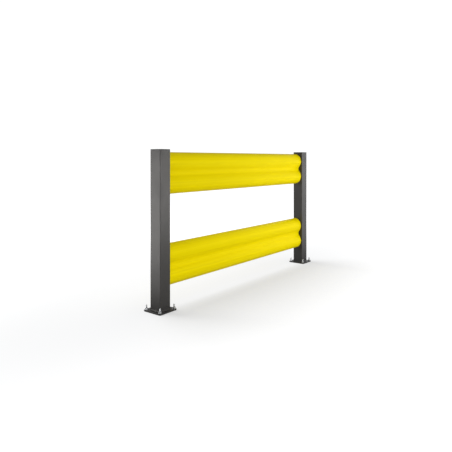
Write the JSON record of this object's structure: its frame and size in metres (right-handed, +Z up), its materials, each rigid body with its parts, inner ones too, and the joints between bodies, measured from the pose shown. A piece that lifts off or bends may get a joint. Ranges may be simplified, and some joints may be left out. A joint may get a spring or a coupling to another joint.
{
  "type": "rack protection barrier",
  "caption": "Floor-mounted rack protection barrier: square steel posts on bolted base plates, joined by hollow yellow rails with a double-lobed front.",
  "frame": {"origin": "on the floor, under the middle of the barrier", "axes": "+X along the rails, -Y out of the lobed fronts, +Z up"},
  "size_m": [2.2, 0.17, 1.155],
  "materials": {
    "post_coat": "satin powder coat, anthracite",
    "cap_plastic": "fine-grained moulded plastic",
    "rail_plastic": "satin extruded plastic, traffic yellow",
    "zinced_steel": "galvanised"
  },
  "bodies": {
    "root": {"left_post": "post_coat", "right_post": "post_coat", "left_base_plate": "post_coat", "right_base_plate": "post_coat", "left_base_weld": "post_coat", "right_base_weld": "post_coat", "left_post_cap": "cap_plastic", "right_post_cap": "cap_plastic", "upper_rail": "rail_plastic", "lower_rail": "rail_plastic", "upper_rail_left_top_shoe": "zinced_steel", "upper_rail_left_bottom_shoe": "zinced_steel", "upper_rail_right_top_shoe": "zinced_steel", "upper_rail_right_bottom_shoe": "zinced_steel", "lower_rail_left_top_shoe": "zinced_steel", "lower_rail_left_bottom_shoe": "zinced_steel", "lower_rail_right_top_shoe": "zinced_steel", "lower_rail_right_bottom_shoe": "zinced_steel"}
  },
  "joints": []
}
